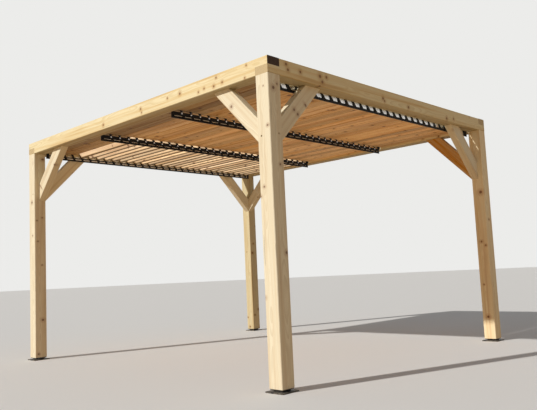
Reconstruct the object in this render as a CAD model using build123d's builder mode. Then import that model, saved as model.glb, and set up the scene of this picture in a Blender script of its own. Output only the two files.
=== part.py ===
from build123d import *
import os

# Timber pergola with a louvred roof in three bays. X runs along the front beam, Y towards the back,
# Z up. The origin is the middle of the footprint, on the ground.

# Overall size, over the outer faces of the posts
width = 3205.0
depth = 3540.0

# Posts and beams
post_size = 120.0
post_length = 2100.0
beam_height = 120.0
lap_share = 0.5
edge_chamfer = 4.0

# Post feet: base plate, two ribs and a cap plate
foot_plate = 160.0
foot_plate_thickness = 8.0
foot_plate_corner = 6.0
foot_rib_length = 80.0
foot_rib_spacing = 70.0
foot_rib_thickness = 8.0
foot_rib_height = 11.0
foot_cap = 110.0
foot_cap_thickness = 6.0
anchor_hole = 9.0
anchor_edge = 12.0

# Corner braces at 45 degrees, flush with the inner faces of the frame
brace_depth = 120.0
brace_thickness = 70.0
brace_reach = 495.0
brace_chamfer = 3.0

# Screws through the posts into the ends of the braces, their heads sunk below the face
screw_rise = 70.0
screw_stagger = 12.0
screw_hole = 7.0
screw_sink = 13.0
screw_sink_depth = 25.0

# Louvre slats: three bays of boards that turn on pins at their ends
bay_count = 3
slat_nominal_pitch = 99.0
slat_side_gap = 47.0
slat_gap = 7.0
slat_thickness = 20.0
slat_chamfer = 2.0
slat_rise = 36.0
open_tilt = 122.0
fixed_slats = 3

# Louvre rails: a lower bar, leaning struts and, on all but the front rail, a bar that links them
rail_inset = 22.0
rail_drop = 46.0
rail_thickness = 5.0
lower_bar_height = 15.0
window_height = 12.0
link_bar_height = 11.0
strut_width = 24.0
strut_lean = 40.0
front_strut_width = 40.0
front_strut_lean = 75.0
eye_radius = 10.0
pin_radius = 4.0
pin_clearance = 0.3
pin_grip = 14.0
bore_spare = 2.0
slat_end_gap = 6.0
hanger_top = 80.0
hanger_width = 30.0
flange_rise = 10.0
flange_width = 36.0
flange_thickness = 5.0

# Bearing strips: a pale comb behind each rail, with a tab beside every pin
strip_thickness = 3.0
strip_cover = 8.0
tab_width = 34.0
tab_rise = 18.0
tab_pin_gap = 3.0

# Side battens: fixed strips that close the roof between the outer slats and the side beams
batten_thickness = 20.0
batten_slat_gap = 7.0
batten_end_gap = 4.0

# Levels and faces that follow from the sizes above
foot_height = foot_plate_thickness + foot_rib_height + foot_cap_thickness
beam_bottom = foot_height + post_length
beam_top = beam_bottom + beam_height
lap_level = beam_bottom + beam_height * lap_share
half_width = width / 2
half_depth = depth / 2
inner_x = half_width - post_size
inner_y = half_depth - post_size
pivot_level = beam_bottom + slat_rise
lower_bar_bottom = beam_bottom - rail_drop
lower_bar_top = lower_bar_bottom + lower_bar_height
link_bar_bottom = lower_bar_top + window_height
link_bar_top = link_bar_bottom + link_bar_height
first_rail_y = -inner_y + rail_inset
rail_spacing = (2 * (inner_y - rail_inset)) / bay_count
rail_half = (rail_thickness + strip_thickness) / 2
slat_field = 2 * (inner_x - slat_side_gap)
slat_count = round(slat_field / slat_nominal_pitch)
slat_pitch = slat_field / slat_count
slat_width = slat_pitch - slat_gap
slat_length = rail_spacing - 2 * (rail_half + slat_end_gap)
pin_reach = rail_half + slat_end_gap + pin_grip
bore_depth = pin_grip + bore_spare
slat_places = [(k - (slat_count - 1) / 2) * slat_pitch for k in range(slat_count)]
rail_places = [first_rail_y + k * rail_spacing for k in range(bay_count + 1)]
pivots = [(x, pivot_level) for x in slat_places]

corners = {
    "front_left": (-1, -1),
    "front_right": (1, -1),
    "back_right": (1, 1),
    "back_left": (-1, 1),
}

os.makedirs("parts", exist_ok=True)


# Post feet. The ribs leave a dark gap under the end grain, and the plate stands proud of the post.
for corner, (side_x, side_y) in corners.items():
    foot_x = side_x * (half_width - post_size / 2)
    foot_y = side_y * (half_depth - post_size / 2)
    with BuildPart() as foot:
        with BuildSketch(Plane((foot_x, foot_y, 0))):
            RectangleRounded(foot_plate, foot_plate, foot_plate_corner)
            with GridLocations(foot_plate - 2 * anchor_edge, foot_plate - 2 * anchor_edge, 2, 2):
                Circle(anchor_hole / 2, mode=Mode.SUBTRACT)
        extrude(amount=foot_plate_thickness)
        with BuildSketch(Plane((foot_x, foot_y, foot_plate_thickness))):
            with GridLocations(foot_rib_spacing, 0, 2, 1):
                Rectangle(foot_rib_thickness, foot_rib_length)
        extrude(amount=foot_rib_height)
        with BuildSketch(Plane((foot_x, foot_y, foot_height - foot_cap_thickness))):
            Rectangle(foot_cap, foot_cap)
        extrude(amount=foot_cap_thickness)
    name = "foot_" + corner
    foot.part.label = name
    export_step(foot.part, f"parts/{name}.step")


# Posts, square timber with its long edges eased. Two sunk screws go in from the outer faces, each in
# line with the middle of a brace, and at two levels so that they pass each other.
screw_level = beam_bottom - brace_reach + screw_rise
for corner, (side_x, side_y) in corners.items():
    post_x = side_x * (half_width - post_size / 2)
    post_y = side_y * (half_depth - post_size / 2)
    brace_x = side_x * (inner_x + brace_thickness / 2)
    brace_y = side_y * (inner_y + brace_thickness / 2)
    with BuildPart() as post:
        with BuildSketch(Plane((post_x, post_y, foot_height))) as section:
            Rectangle(post_size, post_size)
            chamfer(section.vertices(), edge_chamfer)
        extrude(amount=post_length)
        into_x_brace = Plane((side_x * half_width, brace_y, screw_level), (0, 1, 0), (side_x, 0, 0))
        upper_level = screw_level + screw_stagger
        into_y_brace = Plane((brace_x, side_y * half_depth, upper_level), (1, 0, 0), (0, side_y, 0))
        with Locations(into_x_brace, into_y_brace):
            CounterBoreHole(screw_hole / 2, screw_sink / 2, screw_sink_depth, post_size)
    name = "post_" + corner
    post.part.label = name
    export_step(post.part, f"parts/{name}.step")


# Front and back beams. Their lower half runs through to the outer corners, and the upper half is
# cut away at each end for the side beams.
for name, side in (("beam_front", -1), ("beam_back", 1)):
    beam_y = side * (half_depth - post_size / 2)
    with BuildPart() as beam:
        with BuildSketch(Plane.YZ.offset(-half_width)) as section:
            with Locations((beam_y, beam_bottom + beam_height / 2)):
                Rectangle(post_size, beam_height)
            chamfer(section.vertices(), edge_chamfer)
        extrude(amount=width)
        with BuildSketch(Plane((0, beam_y, lap_level))):
            with Locations((-half_width + post_size / 2, 0), (half_width - post_size / 2, 0)):
                Rectangle(post_size, post_size)
        extrude(amount=beam_top - lap_level, mode=Mode.SUBTRACT)
    beam.part.label = name
    export_step(beam.part, f"parts/{name}.step")


# Side beams. Their upper half runs through, over the lower half of the front and back beams.
for name, side in (("beam_left", -1), ("beam_right", 1)):
    beam_x = side * (half_width - post_size / 2)
    with BuildPart() as beam:
        with BuildSketch(Plane.XZ.offset(-half_depth)) as section:
            with Locations((beam_x, beam_bottom + beam_height / 2)):
                Rectangle(post_size, beam_height)
            chamfer(section.vertices(), edge_chamfer)
        extrude(amount=depth)
        with BuildSketch(Plane((beam_x, 0, beam_bottom))):
            with Locations((0, -half_depth + post_size / 2), (0, half_depth - post_size / 2)):
                Rectangle(post_size, post_size)
        extrude(amount=lap_level - beam_bottom, mode=Mode.SUBTRACT)
    beam.part.label = name
    export_step(beam.part, f"parts/{name}.step")


# Corner braces, cut square to the post face and the beam's underside. The profile is drawn from the
# corner where the two meet: out along the beam, and down along the post.
brace_cut = brace_depth * 2**0.5
brace_outline = [
    (0, -brace_reach),
    (brace_reach, 0),
    (brace_reach - brace_cut, 0),
    (0, brace_cut - brace_reach),
]
for corner, (side_x, side_y) in corners.items():
    inner_corner = (side_x * inner_x, side_y * inner_y, beam_bottom)
    runs = {
        "x": (Vector(-side_x, 0, 0), Vector(0, side_y, 0)),
        "y": (Vector(0, -side_y, 0), Vector(side_x, 0, 0)),
    }
    for axis_name, (along_beam, outward) in runs.items():
        with BuildPart() as brace:
            with BuildSketch(Plane(inner_corner, along_beam, along_beam.cross(Vector(0, 0, 1)))):
                with BuildLine():
                    Polyline(*brace_outline, close=True)
                make_face()
            extrude(amount=brace_thickness, dir=outward)
            grain = Axis((0, 0, 0), along_beam + Vector(0, 0, 1))
            chamfer(brace.edges().filter_by(grain), brace_chamfer)
        name = f"brace_{corner}_{axis_name}"
        brace.part.label = name
        export_step(brace.part, f"parts/{name}.step")


# Louvre rails, from the front one to the back one. Each is a flat frame across the opening, with an
# eye and a pin for every slat, hung from the side beams by a plate with a flange at each end.
def rail_profile(post_width, lean, linked):
    strut_outline = [
        (-post_width / 2, pivot_level),
        (post_width / 2, pivot_level),
        (post_width / 2 + lean, lower_bar_bottom),
        (-post_width / 2 + lean, lower_bar_bottom),
    ]
    with BuildSketch() as profile:
        with Locations(*[(x, 0) for x in slat_places]):
            Polygon(*strut_outline, align=None)
        with Locations(*pivots):
            Circle(eye_radius)
        with Locations((0, (lower_bar_bottom + lower_bar_top) / 2)):
            Rectangle(2 * inner_x, lower_bar_height)
        if linked:
            with Locations((0, (link_bar_bottom + link_bar_top) / 2)):
                Rectangle(2 * inner_x, link_bar_height)
        hanger_height = beam_bottom + hanger_top - lower_bar_bottom
        with Locations((0, lower_bar_bottom + hanger_height / 2)):
            with GridLocations(2 * inner_x - hanger_width, 0, 2, 1):
                Rectangle(hanger_width, hanger_height)
    return profile.sketch_local


front_profile = rail_profile(front_strut_width, front_strut_lean, False)
linked_profile = rail_profile(strut_width, strut_lean, True)
for index, rail_y in enumerate(rail_places):
    front_face = rail_y - rail_half
    pin_start = rail_y - (pin_reach if index > 0 else rail_half)
    pin_end = rail_y + (pin_reach if index < bay_count else rail_half)
    with BuildPart() as rail:
        with BuildSketch(Plane.XZ.offset(-front_face - rail_thickness)):
            add(linked_profile if index > 0 else front_profile)
        extrude(amount=rail_thickness)
        with BuildSketch(Plane.XZ.offset(-pin_end)):
            with Locations(*pivots):
                Circle(pin_radius)
        extrude(amount=pin_end - pin_start)
        with BuildSketch(Plane((0, rail_y, beam_bottom + flange_rise))):
            with GridLocations(2 * inner_x - flange_thickness, 0, 2, 1):
                Rectangle(flange_thickness, flange_width)
        extrude(amount=hanger_top - flange_rise)
    name = f"louvre_rail_{index + 1}"
    rail.part.label = name
    export_step(rail.part, f"parts/{name}.step")


# Bearing strips, one against the back of each rail. The comb stands behind the gap over the lower
# bar, and its tabs end beside the eyes of the pins.
strip_bottom = lower_bar_top - strip_cover
strip_top = link_bar_bottom + link_bar_height / 2
tab_centre = eye_radius + tab_pin_gap + tab_width / 2
with BuildSketch() as comb:
    with Locations((0, (strip_bottom + strip_top) / 2)):
        Rectangle(2 * (inner_x - hanger_width), strip_top - strip_bottom)
    with Locations(*[(x - tab_centre, strip_top) for x in slat_places]):
        Rectangle(tab_width, 2 * tab_rise)
for index, rail_y in enumerate(rail_places):
    with BuildPart() as strip:
        with BuildSketch(Plane.XZ.offset(-rail_y - rail_half)):
            add(comb.sketch_local)
        extrude(amount=strip_thickness)
    name = f"bearing_strip_{index + 1}"
    strip.part.label = name
    export_step(strip.part, f"parts/{name}.step")


# Side battens, one along each side beam in every bay, between the rails' flanges.
batten_width = slat_side_gap - batten_slat_gap
batten_length = rail_spacing - flange_width - 2 * batten_end_gap
with BuildPart() as side_battens:
    with BuildSketch(Plane.XY.offset(pivot_level - batten_thickness / 2)):
        for rail_y in rail_places[:-1]:
            with Locations((0, rail_y + rail_spacing / 2)):
                with GridLocations(2 * inner_x - batten_width, 0, 2, 1):
                    Rectangle(batten_width, batten_length)
    extrude(amount=batten_thickness)
side_battens.part.label = "side_battens"
export_step(side_battens.part, "parts/side_battens.step")


# Louvre slats of one bay, at the given places along X, turned about their pins by the tilt. A blind
# bore in each end takes the rail's pin.
def make_slats(bay, places, tilt):
    near_end = rail_places[bay] + rail_half + slat_end_gap
    far_end = near_end + slat_length
    centres = [(x, pivot_level) for x in places]
    with BuildPart() as slats:
        with BuildSketch(Plane.XZ.offset(-far_end)) as section:
            with Locations(*centres):
                Rectangle(slat_width, slat_thickness, rotation=tilt)
            chamfer(section.vertices(), slat_chamfer)
        extrude(amount=slat_length)
        for bore_mouth, bore_way in ((near_end, -bore_depth), (far_end, bore_depth)):
            with BuildSketch(Plane.XZ.offset(-bore_mouth)):
                with Locations(*centres):
                    Circle(pin_radius + pin_clearance)
            extrude(amount=bore_way, mode=Mode.SUBTRACT)
    return slats


# The front and middle bays are shut.
for name, bay in (("louvres_front_bay", 0), ("louvres_middle_bay", 1)):
    slats = make_slats(bay, slat_places, 0)
    slats.part.label = name
    export_step(slats.part, f"parts/{name}.step")

# The back bay stands open, and each of its slats is a moving piece, apart from the few beside the left
# beam, which are fixed and shut.
for index, x in enumerate(slat_places):
    slats = make_slats(bay_count - 1, [x], 0 if index < fixed_slats else open_tilt)
    name = f"louvre_{index + 1:02d}"
    slats.part.label = name
    export_step(slats.part, f"parts/{name}.step")
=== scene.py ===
import math

import bpy
from mathutils import Matrix, Vector


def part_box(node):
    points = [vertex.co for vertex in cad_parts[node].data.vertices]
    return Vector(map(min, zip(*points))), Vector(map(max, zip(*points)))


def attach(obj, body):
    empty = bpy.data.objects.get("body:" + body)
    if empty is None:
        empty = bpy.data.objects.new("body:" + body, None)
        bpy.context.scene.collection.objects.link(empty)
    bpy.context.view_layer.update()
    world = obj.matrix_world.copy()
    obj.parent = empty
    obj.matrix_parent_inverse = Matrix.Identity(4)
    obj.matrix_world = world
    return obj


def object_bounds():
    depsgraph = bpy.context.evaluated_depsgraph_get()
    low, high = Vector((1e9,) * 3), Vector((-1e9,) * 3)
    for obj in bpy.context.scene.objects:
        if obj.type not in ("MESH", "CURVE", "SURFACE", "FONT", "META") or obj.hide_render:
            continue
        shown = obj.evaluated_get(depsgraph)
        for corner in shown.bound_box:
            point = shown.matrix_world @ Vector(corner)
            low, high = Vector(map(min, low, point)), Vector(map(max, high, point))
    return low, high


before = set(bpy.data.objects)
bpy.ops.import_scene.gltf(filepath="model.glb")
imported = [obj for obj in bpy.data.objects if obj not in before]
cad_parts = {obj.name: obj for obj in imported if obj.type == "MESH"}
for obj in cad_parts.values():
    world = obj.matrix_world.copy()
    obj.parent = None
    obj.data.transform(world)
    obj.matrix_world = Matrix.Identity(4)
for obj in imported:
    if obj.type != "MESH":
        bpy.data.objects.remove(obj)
cad_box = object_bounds()

# The camera stands in front of the left corner, under a metre up, and looks up past the near post.
# Its heading is in degrees from the back direction towards the right, and it leans a little.
CAMERA_PLACE = (-4.632, -4.655, 0.782)
CAMERA_HEADING = 45.92
CAMERA_RISE = 6.0
CAMERA_LEAN = 2.63
CAMERA_LENS = 42.74
CAMERA_SENSOR = 36.0

bpy.ops.object.camera_add(location=CAMERA_PLACE)
camera = bpy.context.object
camera.name = "camera"
camera.data.lens = CAMERA_LENS
camera.data.sensor_width = CAMERA_SENSOR
camera.rotation_euler = (
    Matrix.Rotation(math.radians(-CAMERA_HEADING), 3, "Z")
    @ Matrix.Rotation(math.radians(90.0 + CAMERA_RISE), 3, "X")
    @ Matrix.Rotation(math.radians(-CAMERA_LEAN), 3, "Z")
).to_euler()
bpy.context.scene.camera = camera
bpy.context.scene.view_settings.view_transform = "Standard"


# Post feet. Each is a base plate on the ground, two ribs and a cap plate under the post's end
# grain, welded from flat steel and painted matt black. The paint is scuffed, and dusty low down.
class Wire:
    """The output of a shader node. Arithmetic on wires adds Math nodes, and node() any other."""

    def __init__(self, socket):
        self.socket = socket

    def node(self, kind, values, output=0, **settings):
        """A new node, with its settings, then its sockets' values or links by name or number."""
        tree = self.socket.id_data
        made = tree.nodes.new("ShaderNode" + kind)
        for name, setting in settings.items():
            setattr(made, name, setting)
        sockets = [socket for socket in made.inputs if socket.enabled]
        for key, value in values.items():
            if isinstance(key, int):
                socket = sockets[key]
            else:
                socket = next(socket for socket in sockets if socket.name == key)
            if isinstance(value, Wire):
                tree.links.new(value.socket, socket)
            else:
                socket.default_value = value
        outputs = [socket for socket in made.outputs if socket.enabled]
        return Wire(outputs[output])

    def beside(self, name):
        """Another output of the same node."""
        return Wire(self.socket.node.outputs[name])

    def math(self, operation, *others):
        return self.node("Math", dict(enumerate((self, *others))), operation=operation)

    def step(self, start, end, low=0.0, high=1.0):
        """Goes smoothly from low to high as the wire's value goes from start to end."""
        spans = {"Value": self, "From Min": start, "From Max": end, "To Min": low, "To Max": high}
        return self.node("MapRange", spans, interpolation_type="SMOOTHSTEP")

    def between(self, first, second):
        """The wire as a mask: the first colour where it is 0, and the second where it is 1."""
        return self.node("Mix", {"Factor": self, "A": first, "B": second}, data_type="RGBA")

    def axes(self):
        return [self.node("SeparateXYZ", {"Vector": self}, output=axis) for axis in range(3)]

    def __add__(self, other):
        return self.math("ADD", other)

    def __sub__(self, other):
        return self.math("SUBTRACT", other)

    def __rsub__(self, other):
        return self.node("Math", {0: other, 1: self}, operation="SUBTRACT")

    def __mul__(self, other):
        return self.math("MULTIPLY", other)

    def __truediv__(self, other):
        return self.math("DIVIDE", other)

    __radd__ = __add__
    __rmul__ = __mul__


def seen_colour(red, green, blue):
    """A colour given as it looks, each part from 0 to 255, in the shader's linear numbers."""
    linear = []
    for part in (red / 255.0, green / 255.0, blue / 255.0):
        linear.append(part / 12.92 if part <= 0.04045 else ((part + 0.055) / 1.055) ** 2.4)
    return (*linear, 1.0)


def start_finish(name):
    """A new material, and the wire that gives a point's place on the piece, in metres."""
    material = bpy.data.materials.new(name)
    material.use_nodes = True
    return material, Wire(material.node_tree.nodes.new("ShaderNodeTexCoord").outputs["Object"])


def end_finish(material, values):
    """Puts the finished wires and numbers on the material's shader."""
    shader = material.node_tree.nodes["Principled BSDF"]
    for name, value in values.items():
        if isinstance(value, Wire):
            material.node_tree.links.new(value.socket, shader.inputs[name])
        else:
            shader.inputs[name].default_value = value
    return material


def noise(place, scale, detail, **values):
    return place.node("TexNoise", {"Vector": place, "Scale": scale, "Detail": detail, **values})


def bump(height, strength, distance):
    """The wire as a relief: how strong it is, and how deep in metres."""
    return height.node("Bump", {"Strength": strength, "Distance": distance, "Height": height})


def dress(node_name, material):
    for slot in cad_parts[node_name].material_slots:
        slot.material = material


BLACK_PAINT = seen_colour(20, 18, 18)
SCUFFED_PAINT = seen_colour(58, 52, 48)
GROUND_DUST = seen_colour(132, 124, 112)
PAINT_SHINE = 0.3
PAINT_GRIT_SCALE = 380.0
PAINT_GRIT_DEPTH = 0.0004
SCUFF_SCALE = 34.0
MOST_DUST = 0.75


def painted_steel(name, dust_height, scuff_share, roughness):
    """Black paint with a fine grit, scuffed in patches and dusty up to the given height."""
    material, place = start_finish(name)
    grit = noise(place, PAINT_GRIT_SCALE, 3.0)
    patches = noise(place, SCUFF_SCALE, 5.0, Roughness=0.65)
    scuffs = patches.step(0.54, 0.72)
    height = place.axes()[2]
    dust = height.step(0.0, dust_height, MOST_DUST, 0.0) * patches.step(0.35, 0.6)
    paint = (scuffs * scuff_share).between(BLACK_PAINT, SCUFFED_PAINT)
    return end_finish(material, {
        "Base Color": dust.between(paint, GROUND_DUST),
        "Roughness": roughness + scuffs * 0.15 + dust * 0.2,
        "Specular IOR Level": PAINT_SHINE,
        "Normal": bump(grit, 0.25, PAINT_GRIT_DEPTH),
    })


CORNERS = {
    "front_left": (-1, -1),
    "front_right": (1, -1),
    "back_right": (1, 1),
    "back_left": (-1, 1),
}
foot_paint = painted_steel("foot_paint", dust_height=0.03, scuff_share=0.6, roughness=0.45)
for corner in CORNERS:
    dress("foot_" + corner, foot_paint)


# Posts, sawn from pale softwood, planed on all four sides and stood on their feet. The growth rings
# lie round the heart of the tree, near the middle of each post, and the knots run outwards from it.
PALE_WOOD = seen_colour(236, 219, 180)
RING_WOOD = seen_colour(209, 182, 132)
WARM_WOOD = seen_colour(222, 190, 136)
EYE_WOOD = seen_colour(188, 142, 92)
KNOT_WOOD = seen_colour(116, 66, 32)
END_WOOD = seen_colour(208, 182, 140)
CHECK_DARK = seen_colour(92, 68, 48)
UPRIGHT = Vector((0.0, 0.0, 1.0))

RING_WIDTH = 0.0042
RING_WANDER = 0.05
RING_BEND_AT_KNOTS = 0.006
WANDER_STRETCH = (2.6, 2.6, 0.55)
WANDER_SCALE = 3.0
FIBRE_STRETCH = (900.0, 900.0, 14.0)
STREAK_STRETCH = (30.0, 30.0, 0.9)
CHECK_STRETCH = (130.0, 130.0, 2.2)
END_GRAIN_FACING = (0.6, 0.85)

SMALLEST_KNOT = 0.0035
KNOT_SIZE_RANGE = 0.0075
NO_KNOT = 0.0001
KNOT_RAGGEDNESS = 0.8
RAGGED_SCALE = 210.0
KNOTS_ROUND = 5.0
KNOT_SPACING = 0.24

RING_SHARE = 0.5
DEEP_STREAK_SHARE = 0.6
EYE_SHARE = 0.6
END_RING_SHARE = 0.4
FIBRE_SHARE = 0.35
CHECK_SHARE = 0.7
KNOT_DARKNESS = 0.85
WOOD_ROUGHNESS = 0.58
WOOD_SHINE = 0.2
GRAIN_DEPTH = 0.0006


def long_noise(place, stretch, detail, scale=1.0):
    """Noise that is drawn out into streaks: the stretch gives how fine it is along each axis."""
    drawn_out = place.node("VectorMath", {0: place, 1: stretch}, operation="MULTIPLY")
    return noise(drawn_out, scale, detail)


def flat_length(across, along):
    flat = across.node("CombineXYZ", {"X": across, "Y": along})
    return flat.node("VectorMath", {0: flat}, operation="LENGTH")


def softwood(local, end_share, woods, knot_rows, near_knots=None):
    """The wires of a softwood surface. local is across, across and along the grain from the heart,
    in metres, and end_share is 1 on end grain. The woods are the pale, ring, streak and end-grain
    colours and the streaks' share. The knot rows are how many knots stand round the heart, their
    spacing along it, the share of places that have one, and their size. near_knots is the distance
    to the nearest listed knot, in that knot's radii."""
    pale, ring_wood, streak_wood, end_wood, streak_share = woods
    knots_round, knot_spacing, knot_share, knot_size = knot_rows
    across, over, along = local.axes()
    heart_distance = flat_length(across, over)
    angle = over.math("ARCTAN2", across)

    turn_share = 2 * math.pi / knots_round
    column, row = angle / turn_share, along / knot_spacing
    grid = column.node("CombineXYZ", {"X": column, "Y": row})
    cell_values = {"Vector": grid, "Scale": 1.0}
    cell = grid.node("TexVoronoi", cell_values, voronoi_dimensions="2D", output=2)
    draw, size_draw, _ = cell.beside("Color").axes()
    knot_column, knot_row, _ = cell.axes()
    has_knot = draw.math("LESS_THAN", knot_share)
    knot_radius = (SMALLEST_KNOT + size_draw * KNOT_SIZE_RANGE) * knot_size * has_knot + NO_KNOT
    sideways = (column - knot_column) * turn_share * heart_distance
    lengthways = (row - knot_row) * knot_spacing
    knot_distance = flat_length(sideways, lengthways) / knot_radius
    if near_knots:
        knot_distance = knot_distance.math("MINIMUM", near_knots)
    ragged = noise(local, RAGGED_SCALE, 2.0)
    knot_distance = knot_distance + (ragged - 0.5) * KNOT_RAGGEDNESS
    knot = knot_distance.step(0.75, 1.15, 1.0, 0.0)
    eye = knot_distance.step(0.9, 3.8, 1.0, 0.0)

    wander = long_noise(local, WANDER_STRETCH, 2.0, scale=WANDER_SCALE)
    bent_distance = heart_distance + (wander - 0.5) * RING_WANDER + eye * RING_BEND_AT_KNOTS
    ring = (bent_distance / RING_WIDTH).math("FRACT").step(0.35, 0.95)
    fibres = long_noise(local, FIBRE_STRETCH, 2.0)
    streaks = long_noise(local, STREAK_STRETCH, 3.0)
    checks = long_noise(local, CHECK_STRETCH, 1.0).step(0.755, 0.79)

    face = (ring * RING_SHARE).between(pale, ring_wood)
    face = (streaks.step(0.42, 0.66) * streak_share).between(face, streak_wood)
    face = (streaks.step(0.56, 0.74) * streak_share * DEEP_STREAK_SHARE).between(face, EYE_WOOD)
    face = (eye * EYE_SHARE).between(face, EYE_WOOD)
    end = (ring * END_RING_SHARE).between(end_wood, CHECK_DARK)
    colour = end_share.between(face, end)
    colour = ((fibres - 0.5) * FIBRE_SHARE).math("ABSOLUTE").between(colour, EYE_WOOD)
    colour = (checks * CHECK_SHARE).between(colour, CHECK_DARK)
    colour = (knot * KNOT_DARKNESS).between(colour, KNOT_WOOD)
    height = ring * 0.35 + fibres * 0.5 - checks * 2.0 - knot * 0.4
    return {
        "Base Color": colour,
        "Roughness": WOOD_ROUGHNESS + fibres * 0.18 - knot * 0.12,
        "Specular IOR Level": WOOD_SHINE,
        "Normal": bump(height, 0.35, GRAIN_DEPTH),
    }


FEW_KNOTS = 0.15


def dress_timber(node_name, grain, heart, tone, knots, knot_share, end_wood=END_WOOD):
    """Finishes one post, beam or brace: its grain's direction, a point on the heart's line, its
    tone, the knots listed one by one, each a place and a radius, and the share of other knots where
    there are none. The tone is the share of streaks, the colour's turn and strength, a painted
    shade for the underside and a painted light level for the rest."""
    material, place = start_finish("timber_" + node_name)
    turn = UPRIGHT.rotation_difference(grain).to_euler()
    seated = {"Vector": place, "Location": heart, "Rotation": turn}
    local = place.node("Mapping", seated, vector_type="TEXTURE")
    facing = place.beside("Normal")
    end_share = facing.node("VectorMath", {0: facing, 1: grain}, operation="DOT_PRODUCT")
    end_share = end_share.math("ABSOLUTE").step(*END_GRAIN_FACING)
    near_knots = None
    for knot_place, radius in knots:
        reach = place.node("VectorMath", {0: place, 1: knot_place}, operation="DISTANCE") / radius
        near_knots = near_knots.math("MINIMUM", reach) if near_knots else reach
    streak_share, hue, strength, painted_under_shade, painted_light_level = tone
    woods = (PALE_WOOD, RING_WOOD, WARM_WOOD, end_wood, streak_share)
    knot_rows = (KNOTS_ROUND, KNOT_SPACING, FEW_KNOTS if knots else knot_share, 1.0)
    values = softwood(local, end_share, woods, knot_rows, near_knots)
    # Undersides get a painted shade, and the rest of the piece its painted light level.
    values["Base Color"] = facing.node("HueSaturation", {
        "Color": values["Base Color"],
        "Hue": hue,
        "Saturation": strength,
        "Value": facing.axes()[2].step(-0.8, -0.6, painted_under_shade, painted_light_level),
    })
    dress(node_name, end_finish(material, values))


def middle_of(node_name):
    low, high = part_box(node_name)
    return (low + high) / 2


# A tone is the share of streaks, the colour's turn and strength, a painted shade for the underside
# and a painted light level for the rest. The front right post is made lighter and warmer as painted
# light, and the back right post darker as painted shade.
PALE_TONE = (0.6, 0.511, 0.69, 0.8, 1.0)
HONEY_PAINTED_LIGHT_TONE = (0.6, 0.502, 0.92, 0.9, 1.12)
PAINTED_SHADE_TONE = (0.6, 0.512, 0.95, 0.9, 0.8)
POST_TONES = {"front_right": HONEY_PAINTED_LIGHT_TONE, "back_right": PAINTED_SHADE_TONE}
POST_HEARTS = {
    "front_left": (0.012, 0.020, 0.1),
    "front_right": (-0.018, 0.010, 3.3),
    "back_right": (0.020, -0.015, 6.7),
    "back_left": (-0.010, -0.022, 9.9),
}
FOOT_MARGIN = 0.02
LEFT_FACE, FRONT_FACE = cad_box[0].x + FOOT_MARGIN, cad_box[0].y + FOOT_MARGIN
INNER_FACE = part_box("post_front_right")[0].x
POST_KNOTS = {
    "front_left": [
        ((LEFT_FACE, -1.722, 2.040), 0.004),
        ((LEFT_FACE, -1.690, 1.352), 0.007),
        ((-1.554, FRONT_FACE, 2.025), 0.012),
        ((-1.516, FRONT_FACE, 2.057), 0.007),
        ((-1.520, FRONT_FACE, 1.500), 0.007),
        ((-1.500, FRONT_FACE, 0.905), 0.010),
    ],
    "front_right": [
        ((INNER_FACE, -1.733, 1.490), 0.015),
        ((INNER_FACE, -1.700, 0.990), 0.009),
        ((INNER_FACE, -1.742, 0.950), 0.008),
        ((INNER_FACE, -1.690, 0.560), 0.006),
        ((INNER_FACE, -1.708, 0.240), 0.012),
        ((1.540, FRONT_FACE, 1.210), 0.008),
    ],
}
POST_KNOT_SHARE = 0.42
for corner in CORNERS:
    post_name = "post_" + corner
    heart = middle_of(post_name) + Vector(POST_HEARTS[corner])
    tone = POST_TONES.get(corner, PALE_TONE)
    dress_timber(post_name, UPRIGHT, heart, tone, POST_KNOTS.get(corner, []), POST_KNOT_SHARE)


# Beams, of the same timber as the posts. The front and back ones run through in their lower half
# and the side ones in their upper half, so each corner is a half lap that shows end grain both
# ways. The left one's end grain is dark.
DARK_END_WOOD = seen_colour(46, 24, 12)
# The beams' tone darkens their undersides strongly, as painted shade.
WARM_TONE = (0.85, 0.51, 0.96, 0.6, 1.0)
BEAM_HEARTS = {
    "beam_front": (0.7, 0.016, -0.030),
    "beam_back": (4.1, -0.020, 0.018),
    "beam_left": (0.020, 7.3, 0.026),
    "beam_right": (-0.016, 11.9, -0.022),
}
BEAM_KNOTS = {
    "beam_front": [
        ((-1.413, FRONT_FACE, 2.217), 0.010),
        ((-1.396, FRONT_FACE, 2.180), 0.010),
        ((-1.264, FRONT_FACE, 2.190), 0.010),
        ((-1.044, FRONT_FACE, 2.200), 0.013),
        ((-0.969, FRONT_FACE, 2.207), 0.010),
        ((-1.020, FRONT_FACE, 2.162), 0.012),
        ((-0.231, FRONT_FACE, 2.169), 0.011),
        ((-0.211, FRONT_FACE, 2.151), 0.008),
        ((0.157, FRONT_FACE, 2.154), 0.011),
        ((0.825, FRONT_FACE, 2.150), 0.012),
        ((0.960, FRONT_FACE, 2.165), 0.009),
    ],
    "beam_left": [
        ((LEFT_FACE, -1.566, 2.224), 0.006),
        ((LEFT_FACE, -1.547, 2.138), 0.006),
        ((LEFT_FACE, -1.310, 2.165), 0.008),
        ((LEFT_FACE, -1.246, 2.215), 0.007),
        ((LEFT_FACE, -1.217, 2.157), 0.009),
        ((LEFT_FACE, -1.107, 2.166), 0.007),
        ((LEFT_FACE, -1.040, 2.154), 0.007),
        ((LEFT_FACE, -0.815, 2.195), 0.010),
        ((LEFT_FACE, -0.655, 2.195), 0.007),
        ((LEFT_FACE, -0.284, 2.186), 0.009),
        ((LEFT_FACE, 0.301, 2.165), 0.010),
    ],
}
BEAM_KNOT_SHARE = 0.4
ALONG_X, ALONG_Y = Vector((1.0, 0.0, 0.0)), Vector((0.0, 1.0, 0.0))
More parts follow.
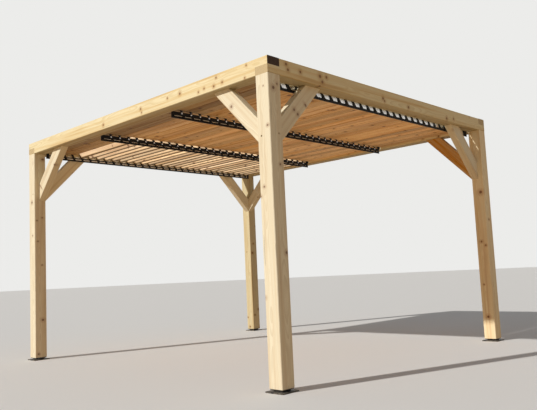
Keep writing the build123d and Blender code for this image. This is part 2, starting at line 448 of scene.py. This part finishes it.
for beam_name, heart_offset in BEAM_HEARTS.items():
    grain = ALONG_X if beam_name in ("beam_front", "beam_back") else ALONG_Y
    heart = middle_of(beam_name) + Vector(heart_offset)
    end_wood = DARK_END_WOOD if beam_name == "beam_left" else END_WOOD
    knots = BEAM_KNOTS.get(beam_name, [])
    dress_timber(beam_name, grain, heart, WARM_TONE, knots, BEAM_KNOT_SHARE, end_wood)


# Corner braces at 45 degrees, two to a corner, cut to sit flat on the post and under the beam. They
# are thinner than the posts and lie flush with their inner faces.
# One brace is turned more orange, and the whole piece is darkened as painted shade.
AMBER_PAINTED_SHADE_TONE = (0.9, 0.478, 1.45, 0.8, 0.82)
BRACE_TONES = {"brace_front_right_y": AMBER_PAINTED_SHADE_TONE}
BRACE_KNOTS = {
    "brace_front_left_x": [((-1.295, -1.720, 1.921), 0.010), ((-1.258, -1.720, 1.893), 0.010)],
    "brace_front_left_y": [((-1.553, -1.344, 1.984), 0.010)],
    "brace_front_right_x": [((1.028, -1.720, 2.070), 0.009)],
}
BRACE_KNOT_SHARE = 0.35
BRACE_HEART_OFFSET = 0.045
NEXT_CORNER_CUT = 1.3
SECOND_BRACE_CUT = 0.4
for number, (corner, (side_x, side_y)) in enumerate(CORNERS.items()):
    x_brace, y_brace = ("x", ALONG_X * -side_x, 0.0), ("y", ALONG_Y * -side_y, SECOND_BRACE_CUT)
    for axis, run, cut in (x_brace, y_brace):
        brace_name = f"brace_{corner}_{axis}"
        grain = (run + UPRIGHT).normalized()
        heart = middle_of(brace_name) + run.cross(UPRIGHT) * BRACE_HEART_OFFSET
        heart = heart + grain * (NEXT_CORNER_CUT * number + cut)
        tone = BRACE_TONES.get(brace_name, PALE_TONE)
        knots = BRACE_KNOTS.get(brace_name, [])
        dress_timber(brace_name, grain, heart, tone, knots, BRACE_KNOT_SHARE)


# Screws that hold the braces and the half laps. The brace screws lie at the bottom of sunk holes in
# the posts' outer faces, and two long screws with washer heads go down through each corner's lap.
# All are zinc-plated steel with a six-lobed socket.
ZINC = seen_colour(196, 186, 158)
PLATE_GRAIN_SCALE = 900.0
PLATE_GRAIN_DEPTH = 0.0002
BLOTCH_SCALE = 120.0
SMOOTH_ANGLE = math.radians(35.0)


def plated_steel(name, colour, roughness):
    material, place = start_finish(name)
    grain = noise(place, PLATE_GRAIN_SCALE, 2.0)
    blotch = noise(place, BLOTCH_SCALE, 3.0)
    return end_finish(material, {
        "Base Color": (blotch.step(0.4, 0.7) * 0.35).between(colour, SCUFFED_PAINT),
        "Metallic": 1.0,
        "Roughness": roughness + blotch * 0.2,
        "Normal": bump(grain, 0.15, PLATE_GRAIN_DEPTH),
    })


def only_selected(obj):
    bpy.ops.object.select_all(action="DESELECT")
    obj.select_set(True)
    bpy.context.view_layer.objects.active = obj


def select_faces(obj, wanted):
    """In edit mode, selects the faces that the test picks, and nothing else."""
    bpy.ops.mesh.select_all(action="DESELECT")
    bpy.ops.object.mode_set(mode="OBJECT")
    for face in obj.data.polygons:
        face.select = wanted(face)
    bpy.ops.object.mode_set(mode="EDIT")


def ease_edges(obj, width):
    """Rounds the sharp edges of the active object."""
    bpy.ops.object.modifier_add(type="BEVEL")
    obj.modifiers["Bevel"].width = width
    obj.modifiers["Bevel"].segments = 2
    bpy.ops.object.modifier_apply(modifier="Bevel")


def screw_head(radius, rise, washer=0.0):
    """A domed head that stands on the origin and points up, with a washer rim where it has one."""
    shoulder, socket_rim, socket_edge = radius * 0.3, radius * 0.2, radius * 0.52
    dome, socket_depth = rise * 0.25, rise * 0.7
    lobe_pinch, washer_thinness = 0.74, 0.3
    middle = (0, 0, rise / 2)
    bpy.ops.object.select_all(action="DESELECT")
    bpy.ops.mesh.primitive_cylinder_add(vertices=24, radius=radius, depth=rise, location=middle)
    head = bpy.context.object
    bpy.ops.object.transform_apply(location=True)
    bpy.ops.object.mode_set(mode="EDIT")
    bpy.ops.mesh.select_mode(type="FACE")
    select_faces(head, lambda face: face.normal.z > 0.9)
    bpy.ops.mesh.inset(thickness=shoulder)
    bpy.ops.transform.translate(value=(0, 0, dome))
    bpy.ops.mesh.inset(thickness=socket_rim)
    bpy.ops.mesh.extrude_region_move(TRANSFORM_OT_translate={"value": (0, 0, -socket_depth)})
    if washer:
        outer = radius * 0.9
        select_faces(head, lambda face: abs(face.normal.z) < 0.3 and face.center.xy.length > outer)
        bpy.ops.mesh.extrude_region_shrink_fatten(TRANSFORM_OT_shrink_fatten={"value": washer})
    bpy.ops.object.mode_set(mode="OBJECT")
    for vertex in head.data.vertices:
        out = vertex.co.xy.length
        turn = math.atan2(vertex.co.y, vertex.co.x)
        if 0.0 < out < socket_edge and math.cos(6 * turn) < -0.5:
            vertex.co.x *= lobe_pinch
            vertex.co.y *= lobe_pinch
        if washer and out > radius * 1.01:
            vertex.co.z *= washer_thinness
    only_selected(head)
    ease_edges(head, radius * 0.06)
    bpy.ops.object.shade_smooth_by_angle(angle=SMOOTH_ANGLE)
    return head


def placed_copy(name, model, placing):
    """A copy of the model with a mesh of its own, moved by the matrix."""
    copy = bpy.data.objects.new(name, model.data.copy())
    copy.data.transform(placing)
    bpy.context.collection.objects.link(copy)
    return copy


def joined(name, copies, material):
    """The copies as one piece, with its name and finish."""
    only_selected(copies[0])
    for copy in copies:
        copy.select_set(True)
    bpy.ops.object.join()
    piece = bpy.context.object
    piece.name = name
    piece.data.materials.clear()
    piece.data.materials.append(material)
    return piece


def set_copies(name, model, places, material):
    """Copies the model to each place, turned so that its top points the given way, joins the
    copies, and takes the model away."""
    copies = []
    for place, way in places:
        turn = Vector(way).to_track_quat("Z", "Y").to_matrix().to_4x4()
        copies.append(placed_copy(name, model, Matrix.Translation(place) @ turn))
    bpy.data.objects.remove(model)
    return joined(name, copies, material)


SINK_FLOOR = 0.025
X_BRACE_SCREW_LEVEL = 1.700
Y_BRACE_SCREW_LEVEL = 1.712
BRACE_MIDDLE = 0.085
LAP_SCREW_SPACING = 0.055
brace_screw_places, lap_screw_places = [], []
for corner, (side_x, side_y) in CORNERS.items():
    post_name = "post_" + corner
    low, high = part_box(post_name)
    outer_x = low.x if side_x < 0 else high.x
    outer_y = low.y if side_y < 0 else high.y
    sunk_x, sunk_y = outer_x - side_x * SINK_FLOOR, outer_y - side_y * SINK_FLOOR
    brace_x, brace_y = outer_x - side_x * BRACE_MIDDLE, outer_y - side_y * BRACE_MIDDLE
    brace_screw_places.append(((sunk_x, brace_y, X_BRACE_SCREW_LEVEL), (side_x, 0, 0)))
    brace_screw_places.append(((brace_x, sunk_y, Y_BRACE_SCREW_LEVEL), (0, side_y, 0)))
    middle = middle_of(post_name)
    for step in (-0.5, 0.5):
        shift = LAP_SCREW_SPACING * step
        place = (middle.x + shift, middle.y + shift * side_x * side_y, cad_box[1].z)
        lap_screw_places.append((place, (0, 0, 1)))
zinc = plated_steel("zinc_plate", ZINC, roughness=0.32)
brace_head = screw_head(radius=0.0055, rise=0.004)
brace_screws = set_copies("brace_screws", brace_head, brace_screw_places, zinc)
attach(brace_screws, "frame")
lap_head = screw_head(radius=0.0065, rise=0.003, washer=0.004)
lap_screws = set_copies("lap_screws", lap_head, lap_screw_places, zinc)
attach(lap_screws, "frame")


# Louvre rails, flat black frames across the opening: a lower bar, leaning struts, and on all but
# the front one a bar that links the struts. Each carries its slats' pins and hangs from the side
# beams by a plate and a flange at each end, which four pan-head screws hold to the beam.
RAIL_THICKNESS = 0.005
STRIP_THICKNESS = 0.003
FLANGE_THICKNESS = 0.005
FLANGE_SCREW_SPREAD = 0.011
FLANGE_SCREW_DROPS = (0.015, 0.055)
RAIL_NUMBERS = range(1, 5)
rail_paint = painted_steel("rail_paint", dust_height=0.001, scuff_share=0.12, roughness=0.6)
flange_screw_places = []
for number in RAIL_NUMBERS:
    rail_name = f"louvre_rail_{number}"
    dress(rail_name, rail_paint)
    low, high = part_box(rail_name)
    middle_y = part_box(f"bearing_strip_{number}")[1].y - (RAIL_THICKNESS + STRIP_THICKNESS) / 2
    for end_x, way in ((low.x + FLANGE_THICKNESS, 1), (high.x - FLANGE_THICKNESS, -1)):
        for drop in FLANGE_SCREW_DROPS:
            for spread in (-FLANGE_SCREW_SPREAD, FLANGE_SCREW_SPREAD):
                place = (end_x, middle_y + spread, high.z - drop)
                flange_screw_places.append((place, (way, 0, 0)))
black_zinc = plated_steel("black_zinc", BLACK_PAINT, roughness=0.4)
pan_head = screw_head(radius=0.0045, rise=0.0026)
flange_screws = set_copies("flange_screws", pan_head, flange_screw_places, black_zinc)
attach(flange_screws, "frame")


# Cover strips, thin black steel on the front of the first three rails. One widens each rail's lower
# bar and, on the second and third, another its link bar, and leaves a narrow slot between them.
COVER_THICKNESS = 0.0012
COVER_END_GAP = 0.012
COVER_RISES = {
    1: [(0.0, 0.020)],
    2: [(0.0, 0.018), (0.025, 0.056)],
    3: [(0.0, 0.018), (0.025, 0.059)],
}
PLATE_EDGE = 0.0003


def plate(name, low, high):
    """A flat plate between two corners, with its edges eased."""
    bpy.ops.object.select_all(action="DESELECT")
    bpy.ops.mesh.primitive_cube_add(size=1.0, location=(low + high) / 2)
    made = bpy.context.object
    made.name = name
    made.scale = high - low
    bpy.ops.object.transform_apply(location=True, scale=True)
    ease_edges(made, PLATE_EDGE)
    return made


def rail_front(number):
    """The Y of a rail's front face, one rail's thickness in front of its bearing strip."""
    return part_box(f"bearing_strip_{number}")[0].y - RAIL_THICKNESS


covers = []
for number, rises in COVER_RISES.items():
    low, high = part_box(f"louvre_rail_{number}")
    back = rail_front(number)
    for start, end in rises:
        cover_low = Vector((low.x + COVER_END_GAP, back - COVER_THICKNESS, low.z + start))
        cover_high = Vector((high.x - COVER_END_GAP, back, low.z + end))
        covers.append(plate("rail_cover", cover_low, cover_high))
rail_covers = joined("rail_covers", covers, rail_paint)
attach(rail_covers, "frame")


# Rivets, one for each slat on the link bars of the second and third rails. They are domed heads of
# bright steel, pressed flat against the cover strips.
BRIGHT_STEEL = seen_colour(250, 249, 247)
RIVET_RADIUS = 0.009
RIVET_RISE = 0.0045
RIVET_LEVEL = 0.049
RIVET_SHIFT = 0.012
RIVETED_RAILS = (2, 3)
SLAT_COUNT = 29
SLAT_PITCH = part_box("louvre_02")[0].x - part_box("louvre_01")[0].x
bright_steel = plated_steel("bright_steel", BRIGHT_STEEL, roughness=0.16)
bpy.ops.object.select_all(action="DESELECT")
bpy.ops.mesh.primitive_uv_sphere_add(segments=20, ring_count=10, radius=RIVET_RADIUS)
rivet = bpy.context.object
bpy.ops.object.mode_set(mode="EDIT")
bpy.ops.mesh.select_all(action="SELECT")
bpy.ops.mesh.bisect(plane_co=(0, 0, 0), plane_no=(0, 0, 1), clear_inner=True, use_fill=True)
bpy.ops.object.mode_set(mode="OBJECT")
rivet.scale = (1.0, 1.0, RIVET_RISE / RIVET_RADIUS)
bpy.ops.object.transform_apply(scale=True)
bpy.ops.object.shade_smooth_by_angle(angle=SMOOTH_ANGLE)
rivet_places = []
for number in RIVETED_RAILS:
    rivet_y = rail_front(number) - COVER_THICKNESS
    rivet_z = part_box(f"louvre_rail_{number}")[0].z + RIVET_LEVEL
    for slat_number in range(SLAT_COUNT):
        rivet_x = (slat_number - (SLAT_COUNT - 1) / 2) * SLAT_PITCH + RIVET_SHIFT
        rivet_places.append(((rivet_x, rivet_y, rivet_z), (0, -1, 0)))
rivets = set_copies("rivets", rivet, rivet_places, bright_steel)
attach(rivets, "frame")


# Bearing strips, combs of off-white nylon against the back of each rail. They are sheared along
# their length, and a little grimy where they have been handled.
NYLON = seen_colour(248, 246, 242)
NYLON_GRIME = seen_colour(196, 188, 176)
SHEAR_STRETCH = (6.0, 900.0, 900.0)
SHEAR_DEPTH = 0.0003
GRIME_SCALE = 60.0
material, place = start_finish("nylon")
lines = long_noise(place, SHEAR_STRETCH, 2.0)
marks = noise(place, GRIME_SCALE, 4.0).step(0.45, 0.7)
nylon = end_finish(material, {
    "Base Color": (marks * 0.3).between(NYLON, NYLON_GRIME),
    "Roughness": 0.4 + marks * 0.2,
    "Specular IOR Level": 1.0,
    "Coat Weight": 1.0,
    "Coat IOR": 1.9,
    "Coat Roughness": 0.35,
    "Normal": bump(lines, 0.15, SHEAR_DEPTH),
})
for number in RAIL_NUMBERS:
    dress(f"bearing_strip_{number}", nylon)


# Window clips, one bright steel plate in each window of the front rail. They lean with the rail's
# broad struts, face a little downwards, stand over its lower bar and end just under the slats.
LOWER_BAR_HEIGHT = 0.015
WINDOW_WIDTH = 0.057
WINDOW_LEAN = 75.0 / 82.0
CLIP_THICKNESS = 0.0016
CLIP_TILT = 11.0
CLIP_SET_FORWARD = 0.0035
CLIP_FOOT_GAP = 0.001
CLIP_TOP_GAP = 0.005
bay_low, bay_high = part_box("louvres_front_bay")
slat_level = (bay_low.z + bay_high.z) / 2
clip_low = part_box("louvre_rail_1")[0].z + LOWER_BAR_HEIGHT + CLIP_FOOT_GAP
clip_high = bay_low.z - CLIP_TOP_GAP
clip_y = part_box("bearing_strip_1")[0].y - CLIP_SET_FORWARD
clip_z = (clip_low + clip_high) / 2
clip_size = Vector((WINDOW_WIDTH, CLIP_THICKNESS, clip_high - clip_low))
clip = plate("clip", clip_size / -2, clip_size / 2)
for vertex in clip.data.vertices:
    vertex.co.x -= WINDOW_LEAN * vertex.co.z
clip_shift = WINDOW_LEAN * (slat_level - clip_z)
clip_turn = Matrix.Rotation(math.radians(CLIP_TILT), 4, "X")
clips = []
for gap in range(SLAT_COUNT):
    clip_x = (gap - SLAT_COUNT / 2) * SLAT_PITCH + clip_shift
    placing = Matrix.Translation((clip_x, clip_y, clip_z)) @ clip_turn
    clips.append(placed_copy("window_clip", clip, placing))
bpy.data.objects.remove(clip)
window_clips = joined("window_clips", clips, bright_steel)
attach(window_clips, "frame")


# Slats, thin planed boards in three bays, and the fixed battens beside them. Each board is cut from
# another part of the tree, so the finish finds which slat and which bay a point is on, and moves
# the heart and the tone with it. The tops and the open slats are painted paler and brighter as
# sunlight, and the undersides keep a warmer, darker colour that is partly the wood's own and partly
# painted shade.
# The slat wood as the undersides show it: partly its own warmer colour, partly painted shade.
UNDERSIDE_PALE = seen_colour(230, 196, 148)
UNDERSIDE_RING = seen_colour(184, 138, 88)
UNDERSIDE_STREAK = seen_colour(196, 148, 94)
SLAT_WOODS = (UNDERSIDE_PALE, UNDERSIDE_RING, UNDERSIDE_STREAK, END_WOOD, 1.0)
SLAT_KNOT_ROWS = (9.0, 0.34, 0.28, 1.7)
HEART_SPREAD = 0.09
HEART_DEPTH = 0.03
HEART_DEPTH_SPREAD = 0.05
TRUNK_LENGTH = 9.0
BAY_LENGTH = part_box("louvres_middle_bay")[0].y - bay_low.y
BAY_MARGIN = 0.01
OPEN_BAY = 2
FIRST_SLAT = (1 - SLAT_COUNT) / 2
FIXED_SLATS = 3
OPEN_TILT = 122.0
OPEN_EDGE = (-0.038, -0.026)
OPEN_EDGE_SHADE = 0.7
DARK_SLATS_END = (1.2, 2.8)
DARK_SLAT_SHADE = 0.5
# Hue, strength and value of the undersides, and of the tops and open slats painted as sunlit.
UNDERSIDE_HUE, PAINTED_SUNLIT_HUE = 0.503, 0.513
LEAST_STRENGTH, STRENGTH_SPREAD, PAINTED_SUNLIT_STRENGTH = 0.87, 0.2, 0.7
LEAST_VALUE, VALUE_SPREAD, PAINTED_SUNLIT_VALUE = 0.87, 0.56, 1.36


def slat_finish():
    """The open slats are turned about their pins, so the finish turns its own axes with them. The
    slats next to the left beam are darker underneath, a painted shade, and the open ones along
    their lower edge, a painted shadow of the next slat."""
    material, place = start_finish("slat_timber")
    across, along, height = place.axes()
    slat = (across / SLAT_PITCH).math("ROUND")
    bay = ((along - bay_low.y + BAY_MARGIN) / BAY_LENGTH).math("FLOOR")
    past_fixed = slat.math("GREATER_THAN", FIRST_SLAT + FIXED_SLATS - 0.5)
    is_open = bay.math("GREATER_THAN", OPEN_BAY - 0.5) * past_fixed
    turn = is_open * math.radians(OPEN_TILT)
    turn_cosine, turn_sine = turn.math("COSINE"), turn.math("SINE")
    from_pin, over_pin = across - slat * SLAT_PITCH, height - slat_level
    on_width = from_pin * turn_cosine + over_pin * turn_sine
    on_thickness = over_pin * turn_cosine - from_pin * turn_sine

    slat_and_bay = slat.node("CombineXYZ", {"X": slat, "Y": bay})
    drawn = {"Vector": slat_and_bay}
    draw = slat_and_bay.node("TexWhiteNoise", drawn, output=1, noise_dimensions="3D")
    draw_x, draw_y, draw_z = draw.axes()
    local = draw.node("CombineXYZ", {
        "X": on_width + (draw_x - 0.5) * HEART_SPREAD,
        "Y": on_thickness + HEART_DEPTH + draw_y * HEART_DEPTH_SPREAD,
        "Z": along + draw_z * TRUNK_LENGTH,
    })
    _, facing_along, facing_up = place.beside("Normal").axes()
    end_share = facing_along.math("ABSOLUTE").step(*END_GRAIN_FACING)
    values = softwood(local, end_share, SLAT_WOODS, SLAT_KNOT_ROWS)

    # Painted sunlight on the tops and open slats; painted shade under the slats by the left beam
    # and along the open slats' lower edge.
    on_top = facing_up.step(0.3, 0.6)
    painted_sunlit = on_top.math("MAXIMUM", is_open)
    dark_start, dark_end = (FIRST_SLAT + slats for slats in DARK_SLATS_END)
    beam_shade = on_top.math("MAXIMUM", slat.step(dark_start, dark_end, DARK_SLAT_SHADE, 1.0))
    edge_shade = 1.0 - is_open * on_width.step(*OPEN_EDGE, OPEN_EDGE_SHADE, 0.0)
    strength = LEAST_STRENGTH + draw_x * STRENGTH_SPREAD
    value = LEAST_VALUE + draw_y * VALUE_SPREAD
    values["Base Color"] = draw.node("HueSaturation", {
        "Color": values["Base Color"],
        "Hue": painted_sunlit.step(0.0, 1.0, UNDERSIDE_HUE, PAINTED_SUNLIT_HUE),
        "Saturation": strength * painted_sunlit.step(0.0, 1.0, 1.0, PAINTED_SUNLIT_STRENGTH),
        "Value": value * beam_shade * edge_shade * painted_sunlit.step(0.0, 1.0, 1.0, PAINTED_SUNLIT_VALUE),
    })
    return end_finish(material, values)


slat_timber = slat_finish()
slat_nodes = ["louvres_front_bay", "louvres_middle_bay", "side_battens"]
slat_nodes += [f"louvre_{number:02d}" for number in range(1, SLAT_COUNT + 1)]
for slat_node in slat_nodes:
    dress(slat_node, slat_timber)


# The studio: a wide floor, a low soft sun from the left as on the real site, and a pale sky all
# round. The camera and reflections see a pale floor and backdrop, and the light that the floor
# throws up on the wood is warmer and dimmer than its look.
FLOOR_RADIUS = 70.0
FLOOR_COLOUR = seen_colour(226, 224, 220)
FLOOR_BOUNCE = seen_colour(212, 181, 142)
MOTTLE_SCALE = 3.0
MOTTLE_SHARE = 0.06
SUN_HEIGHT = 31.0
SUN_TURN = 17.0
SUN_DISTANCE = 12.0
SUN_SPREAD = 1.0
SUN_STRENGTH = 3.15
SUN_COLOUR = (1.0, 0.98, 0.95)
SKY_COLOUR = seen_colour(246, 246, 250)
SKY_STRENGTH = 0.24
BACKDROP = seen_colour(236, 236, 234)


def seen_rays(tree):
    """A mask that is 1 on what the camera sees, in a mirror or through glass as well."""
    ray = Wire(tree.nodes.new("ShaderNodeLightPath").outputs["Is Camera Ray"])
    mirrored = ray.math("MAXIMUM", ray.beside("Is Glossy Ray"))
    return mirrored.math("MAXIMUM", ray.beside("Is Transmission Ray"))


bpy.ops.object.select_all(action="DESELECT")
bpy.ops.mesh.primitive_circle_add(vertices=128, radius=FLOOR_RADIUS, fill_type="NGON")
floor = bpy.context.object
floor.name = "floor"
material, place = start_finish("floor_finish")
mottle = noise(place, MOTTLE_SCALE, 4.0)
floor_seen = (mottle * MOTTLE_SHARE).between(FLOOR_COLOUR, BACKDROP)
floor_colour = seen_rays(material.node_tree).between(FLOOR_BOUNCE, floor_seen)
end_finish(material, {"Base Color": floor_colour, "Roughness": 0.9})
floor.data.materials.append(material)

sun_way = Vector((
    -math.cos(math.radians(SUN_HEIGHT)) * math.cos(math.radians(SUN_TURN)),
    math.cos(math.radians(SUN_HEIGHT)) * math.sin(math.radians(SUN_TURN)),
    math.sin(math.radians(SUN_HEIGHT)),
))
bpy.ops.object.light_add(type="SUN", location=sun_way * SUN_DISTANCE)
sun = bpy.context.object
sun.name = "sun"
sun.rotation_euler = sun_way.to_track_quat("Z", "Y").to_euler()
sun.data.energy = SUN_STRENGTH
sun.data.angle = math.radians(SUN_SPREAD)
sun.data.color = SUN_COLOUR

world = bpy.data.worlds.new("studio")
bpy.context.scene.world = world
world.use_nodes = True
tree = world.node_tree
sky = tree.nodes["Background"]
sky.inputs["Color"].default_value = SKY_COLOUR
sky.inputs["Strength"].default_value = SKY_STRENGTH
backdrop = tree.nodes.new("ShaderNodeBackground")
backdrop.inputs["Color"].default_value = BACKDROP
both = tree.nodes.new("ShaderNodeMixShader")
tree.links.new(seen_rays(tree).socket, both.inputs["Fac"])
tree.links.new(sky.outputs["Background"], both.inputs[1])
tree.links.new(backdrop.outputs["Background"], both.inputs[2])
tree.links.new(both.outputs["Shader"], tree.nodes["World Output"].inputs["Surface"])
